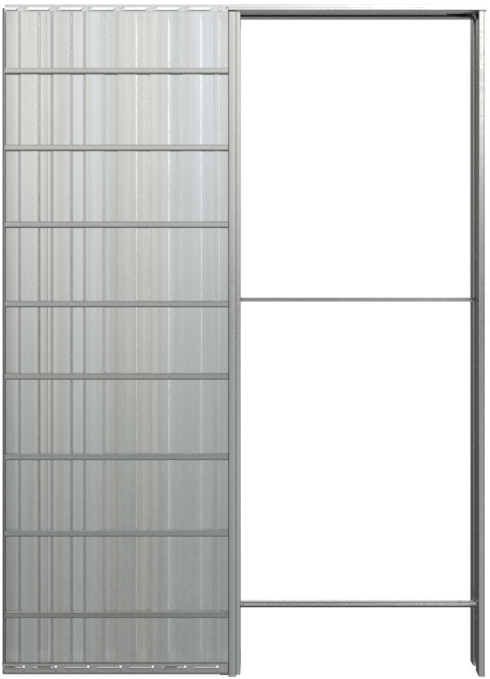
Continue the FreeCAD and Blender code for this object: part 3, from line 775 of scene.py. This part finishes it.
def board_bars(side):
    """The eight board bars of one face, their edges reaching down to the ribs' floors."""
    word = face_word(side)
    outward = Vector((0.0, side, 0.0))
    length = Vector((-side, 0.0, 0.0))
    turn = Matrix((length.cross(outward), length, outward)).transposed().to_euler()
    places = [(0.0, side * (POCKET_HALF - RIB_DEPTH), z) for z in BAR_HEIGHTS]
    across = filled([-BAR_HALF, BAR_HALF], BAR_GAP_ACROSS)
    ends = [-side * SHEET_LEFT, -side * (SHEET_RIGHT + BAR_END_GAP)]
    along = [(x, 1.0) for x in filled(ends, BAR_GAP_ALONG)]
    crown = 2.0 * BAR_HALF - BAR_UPPER_FLANK - BAR_LOWER_SEEN
    grown(
        PRESSED, word + "_board_bars", strip_points(places, across, along), "bar_zinc",
        ["%s_bar_%d" % (word, n) for n in range(1, len(BAR_HEIGHTS) + 1)],
        **{"Places": len(places), "Across Stations": len(across), "Along Stations": len(along),
           "First Rib": (BAR_UPPER_FLANK - BAR_LOWER_SEEN) / 2.0 * MM, "Rib Pitch": FAR_OFF,
           "Last Rib": 0.0, "Half Rib": crown / 2.0 * MM, "Near Flank": BAR_UPPER_FLANK * MM,
           "Far Flank": BAR_LOWER_FLANK * MM, "Open Start": 0.0, "Margin": FAR_OFF,
           "Rise": (BAR_RISE + RIB_DEPTH) * MM, "Bend": BAR_BEND,
           "Edge": (BAR_HALF - BAR_LIP) * MM, "Gauge": SKIN * MM,
           "Fold Width": BAR_LOWER_SEEN * MM, "Wave Height": 0.0, "Wave Seed": 0.0,
           "Lap Edge": -FAR_OFF, "Lap Width": MM, "Lap Height": 0.0, "Turn": tuple(turn)})


def fastener_tree():
    """A domed head with a flat underside at each given point."""
    tree, given, out = group(
        "domed_heads", "GeometryNodeTree",
        [("Places", "Geometry", None), ("Radius", "Float", 2.0 * MM), ("Height", "Float", MM),
         ("Turn", "Vector", (0.0, 0.0, 0.0)), ("Finish", "Material", None)],
        [("Geometry", "Geometry")])
    ball = node(tree, "GeometryNodeMeshUVSphere",
                {"Segments": HEAD_SEGMENTS, "Rings": HEAD_RINGS, "Radius": 1.0})
    here = parts(tree, node(tree, "GeometryNodeInputPosition").outputs[0])
    wide = [sums(tree, "MULTIPLY", here[axis], given["Radius"]) for axis in ("X", "Y")]
    tall = sums(tree, "MULTIPLY", sums(tree, "MAXIMUM", here["Z"], 0.0), given["Height"])
    dome = node(tree, "GeometryNodeSetPosition",
                {"Geometry": ball.outputs["Mesh"],
                 "Position": joined(tree, X=wide[0], Y=wide[1], Z=tall)})
    finished = placed_and_finished(tree, given["Places"], True, dome.outputs[0], given)
    tree.links.new(finished, out["Geometry"])
    return tree


HEADS = fastener_tree()


def fasteners(side):
    """Screws of the rails and rivets of the rear post on one face."""
    for name, spots, face, radius, height in (
            ("rail_screws", BASE_SCREWS + TOP_SCREWS, RAIL_FACE, SCREW_RADIUS, SCREW_HEIGHT),
            ("post_rivets", POST_RIVETS, POCKET_HALF, RIVET_RADIUS, RIVET_HEIGHT)):
        points = metres((x, side * face, z) for x, z in spots)
        grown(HEADS, face_word(side) + "_" + name, points, "fixing_zinc", [],
              **{"Radius": radius * MM, "Height": height * MM, "Turn": face_turn(side)})


for side in (-1, 1):
    ribbed_skin(side)
    board_bars(side)
    fasteners(side)

# Finishes of the CAD nodes; the longest key in a node's name counts
SLOT_OF = {
    "base_rail": "rail_zinc", "top_rail": "rail_zinc", "pocket_top_channel": "pale_zinc",
    "rear_post": "post_zinc", "header_channel": "header_zinc", "jamb": "jamb_zinc",
    "closing_jamb": "closing_zinc", "closing_splice": "closing_zinc", "spacer": "spacer_zinc",
    "lower_spacer": "stepped_zinc", "mouth_floor_plate": "fixing_zinc",
    "base_tie": "fixing_zinc", "track": "track_alloy", "pocket_sheet": "sheet_zinc",
    "bar_": "bar_zinc",
}
for name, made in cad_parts.items():
    keys = [key for key in SLOT_OF if key in name]
    finish = FINISHES[SLOT_OF[max(keys, key=len)]]
    for holder in made.material_slots:
        holder.material = finish


# Floor, light and camera

FLOOR_HALF, FLOOR_GREY, FLOOR_ROUGHNESS, FLOOR_GLOW = 9.0, 0.20, 0.9, 0.82
LAMP_ENERGY, LAMP_ANGLE, LAMP_HEIGHT = 1.0, 25.0, 5.0
WHITE = grey(1.0)


def studio_floor():
    """A pale floor that glows enough to show no shadow, and that the metal doesn't see."""
    half = FLOOR_HALF
    mesh = bpy.data.meshes.new("studio_floor")
    mesh.from_pydata([(-half, -half, 0.0), (half, -half, 0.0), (half, half, 0.0),
                      (-half, half, 0.0)], [], [(0, 1, 2, 3)])
    floor = bpy.data.objects.new("studio_floor", mesh)
    bpy.context.scene.collection.objects.link(floor)
    material = bpy.data.materials.new("pale_floor")
    material.use_nodes = True
    shader = material.node_tree.nodes["Principled BSDF"]
    shader.inputs["Base Color"].default_value = grey(FLOOR_GREY)
    shader.inputs["Roughness"].default_value = FLOOR_ROUGHNESS
    shader.inputs["Emission Color"].default_value = WHITE
    shader.inputs["Emission Strength"].default_value = FLOOR_GLOW
    mesh.materials.append(material)
    floor.visible_glossy = False


# Studio surround as the metal sees it: levels by the sine of the height angle, to the left of
# the camera and close to its right, and a share by the angle round the frame in degrees, where
# 0 is in front and the left is positive. A bright card stands high on the right and another high
# behind; sides are stretches of that angle and rises stretches of the sine, each with soft ends.
SURROUND_TOP = 2.4
LEFT_RISE = ((-1.0, 0.31), (-0.55, 0.365), (-0.38, 0.43), (-0.15, 0.62), (0.12, 0.81),
             (0.24, 0.88), (0.36, 0.88), (0.72, 0.95), (0.84, 1.6), (0.94, 1.6), (0.97, 0.5),
             (1.0, 0.35))
RIGHT_RISE = ((-1.0, 0.35), (-0.56, 0.48), (-0.41, 0.56), (-0.33, 0.60), (-0.15, 0.44),
              (-0.06, 0.43), (0.04, 0.74), (0.18, 0.90), (0.41, 1.20), (0.60, 0.80),
              (0.87, 0.35), (1.0, 0.35))
ROUND_SHARE = ((-180, 0.62), (-120, 0.62), (-84, 0.8), (-60, 0.9), (-52, 1.1), (-49, 1.3),
               (-46, 1.6), (-43, 1.9), (-40, 2.35), (-38.5, 1.0), (-36.5, 0.4), (-31, 0.35),
               (-28, 0.7), (-26, 1.0), (22, 1.03), (25, 1.03), (40, 0.95), (56, 0.9),
               (61.5, 0.85), (63, 2.1), (65, 2.1), (66.5, 0.5), (70, 0.5), (73, 0.6),
               (75, 1.15), (80, 1.1), (85, 0.6), (105, 0.55), (180, 0.62))
RIGHT_SIDE = ((4.0, -2.0), (-30.0, -25.0))
CARD_SIDE, CARD_RISE, CARD_LEVEL = ((-11.0, -15.0), (-30.0, -26.0)), (0.12, 0.25), 1.1
BACK_SIDE, BACK_RISE, BACK_LEVEL = (145.0, 155.0), ((0.30, 0.45), (0.75, 0.62)), 1.4
LOW_HUE, LOW_HUE_RISE = (0.975, 1.012, 0.995, 1.0), (-0.45, 0.1)
FULL_TURN = 360.0


def surround_level(tree, way):
    """The surround's level in a direction given by its X, Y and Z."""
    height = sums(tree, "MULTIPLY_ADD", way["Z"], 0.5, 0.5)
    angle = sums(tree, "ARCTAN2", sums(tree, "MULTIPLY", way["X"], -1.0),
                 sums(tree, "MULTIPLY", way["Y"], -1.0))
    angle = sums(tree, "DEGREES", angle)
    left, right = [ramp(tree, height, [(0.5 + 0.5 * rise, level) for rise, level in stops],
                        SURROUND_TOP)
                   for stops in (LEFT_RISE, RIGHT_RISE)]
    change = sums(tree, "MULTIPLY", between(tree, angle, *RIGHT_SIDE),
                  sums(tree, "SUBTRACT", right, left))
    level = sums(tree, "ADD", left, change)
    turn = sums(tree, "MULTIPLY_ADD", angle, 1.0 / FULL_TURN, 0.5)
    stops = [(0.5 + degrees / FULL_TURN, share) for degrees, share in ROUND_SHARE]
    level = sums(tree, "MULTIPLY", level, ramp(tree, turn, stops, SURROUND_TOP))
    card = sums(tree, "MULTIPLY", between(tree, angle, *CARD_SIDE),
                spread(tree, way["Z"], *CARD_RISE))
    level = sums(tree, "MULTIPLY_ADD", card, CARD_LEVEL, level)
    behind = sums(tree, "MULTIPLY", spread(tree, sums(tree, "ABSOLUTE", angle), *BACK_SIDE),
                  between(tree, way["Z"], *BACK_RISE))
    return sums(tree, "MULTIPLY_ADD", behind, BACK_LEVEL, level)


def studio_light():
    """White to the camera, a soft surround for the metal, and a wide lamp overhead for the
    floor."""
    world = bpy.data.worlds.new("soft_studio")
    bpy.context.scene.world = world
    world.use_nodes = True
    tree = world.node_tree
    tree.nodes.clear()
    way = parts(tree, node(tree, "ShaderNodeTexCoord").outputs["Generated"])
    hue = blend(tree, "MIX", spread(tree, way["Z"], *LOW_HUE_RISE), LOW_HUE, WHITE)
    soft = node(tree, "ShaderNodeBackground",
                {"Color": hue, "Strength": surround_level(tree, way)})
    plain = node(tree, "ShaderNodeBackground", {"Color": WHITE, "Strength": 1.0})
    path = node(tree, "ShaderNodeLightPath")
    mixed = node(tree, "ShaderNodeMixShader", {0: path.outputs["Is Camera Ray"],
                                               1: soft.outputs[0], 2: plain.outputs[0]})
    node(tree, "ShaderNodeOutputWorld", {"Surface": mixed.outputs[0]})

    overhead = bpy.data.lights.new("overhead_lamp", "SUN")
    overhead.energy = LAMP_ENERGY
    overhead.angle = math.radians(LAMP_ANGLE)
    lamp = bpy.data.objects.new("overhead_lamp", overhead)
    lamp.location = (0.0, 0.0, LAMP_HEIGHT)
    lamp.visible_glossy = False
    bpy.context.scene.collection.objects.link(lamp)


def viewpoint():
    """Level camera opposite the upper middle, shifted so that uprights stay parallel."""
    lens = bpy.data.cameras.new("viewpoint")
    lens.sensor_width = SENSOR_WIDTH
    lens.lens = FOCAL_PIXELS / IMAGE_HEIGHT * SENSOR_WIDTH
    lens.shift_x = (IMAGE_WIDTH / 2.0 - AHEAD_COLUMN) / IMAGE_HEIGHT
    lens.shift_y = (AHEAD_ROW - IMAGE_HEIGHT / 2.0) / IMAGE_HEIGHT
    camera = bpy.data.objects.new("viewpoint", lens)
    camera.location = metres([CAMERA_PLACE])[0]
    camera.rotation_euler = (math.pi / 2.0, 0.0, 0.0)
    bpy.context.scene.collection.objects.link(camera)
    bpy.context.scene.camera = camera


studio_floor()
studio_light()
viewpoint()
bpy.context.scene.view_settings.view_transform = "Standard"
